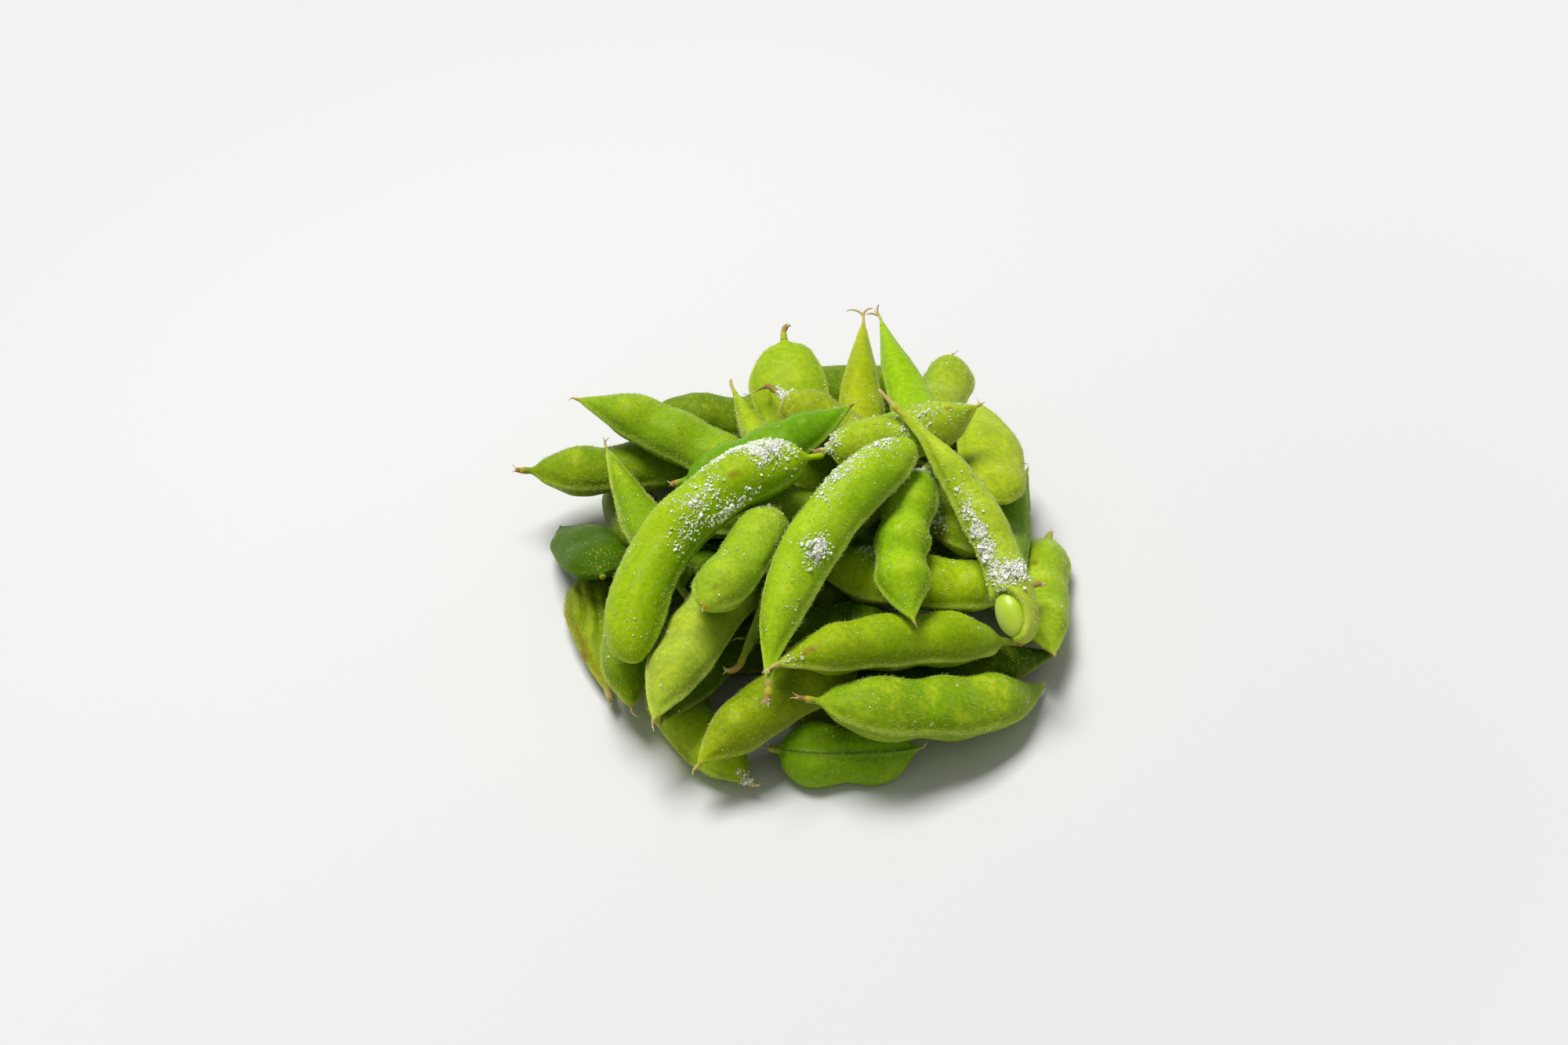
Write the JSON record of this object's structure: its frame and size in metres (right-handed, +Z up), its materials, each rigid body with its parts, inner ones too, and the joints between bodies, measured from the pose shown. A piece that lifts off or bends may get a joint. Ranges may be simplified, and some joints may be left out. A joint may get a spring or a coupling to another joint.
{
  "type": "heap of edamame pods",
  "caption": "Bundle of boiled edamame pods heaped on a flat surface, curved and bulging over their beans, with drawn-out tips, dried stalks and a sprinkle of salt.",
  "frame": {"origin": "on the table, under the middle of the heap's bounding box", "axes": "+Z up from the table; +X to the right and -Y towards the viewer who faces the two large curved pods on top"},
  "size_m": [0.1308, 0.1296, 0.0468],
  "materials": {
    "pod_lime": "moist boiled pod skin, bright yellow-green, fine short hairs, soft sheen",
    "pod_fresh": "moist boiled pod skin, mid green, fine short hairs, soft sheen",
    "pod_deep": "moist boiled pod skin, deep green, smoother and a little glossier",
    "pod_yellow": "moist boiled pod skin, yellowish green, thin and a little translucent",
    "dried_tip": "dry brown and straw-coloured stalk ends and beaks",
    "bean": "smooth pale green bean, moist",
    "salt": "coarse white salt crystals"
  },
  "bodies": {
    "root": {"base_pod_centre": "pod_deep", "base_pod_centre_front": "pod_deep", "base_pod_right": "pod_deep", "base_pod_left": "pod_fresh", "base_pod_centre_left": "pod_deep", "base_pod_front": "pod_deep", "base_pod_back_left": "pod_fresh", "base_pod_back": "pod_fresh", "front_seam_pod": "pod_fresh", "front_tucked_pod": "pod_fresh", "front_left_pod": "pod_lime", "shrivelled_pod": "pod_fresh", "left_lower_pod": "pod_fresh", "left_rounded_pod": "pod_deep", "front_fuzzy_pod": "pod_fresh", "middle_low_pod": "pod_deep", "middle_front_pod": "pod_deep", "middle_right_pod": "pod_deep", "right_edge_pod": "pod_fresh", "right_leaf_tip_pod": "pod_deep", "back_left_pod": "pod_fresh", "back_left_upper_pod": "pod_lime", "back_middle_left_pod": "pod_fresh", "back_middle_right_pod": "pod_fresh", "middle_pod_back": "pod_lime", "centre_dark_pod": "pod_deep", "front_right_lower_pod": "pod_lime", "back_upper_pod": "pod_fresh", "back_broad_pod": "pod_lime", "back_right_short_pod": "pod_lime", "left_edge_on_pod": "pod_lime", "front_right_upper_pod": "pod_lime", "right_middle_pod": "pod_lime", "left_seam_pod": "pod_lime", "salted_right_pod": "pod_lime", "hooked_pod": "pod_fresh", "left_round_end_pod": "pod_lime", "left_spike_pod": "pod_fresh", "back_slim_tips_pod": "pod_yellow", "back_spike_pod": "pod_yellow", "back_green_spike_pod": "pod_fresh", "right_back_pod": "pod_yellow", "dark_smooth_pod": "pod_deep", "back_stalked_pod": "pod_lime", "top_short_pod": "pod_lime", "crescent_pod": "pod_fresh", "waisted_pod": "pod_lime", "long_curved_pod": "pod_lime", "slim_salted_pod": "pod_lime"}
  },
  "joints": []
}
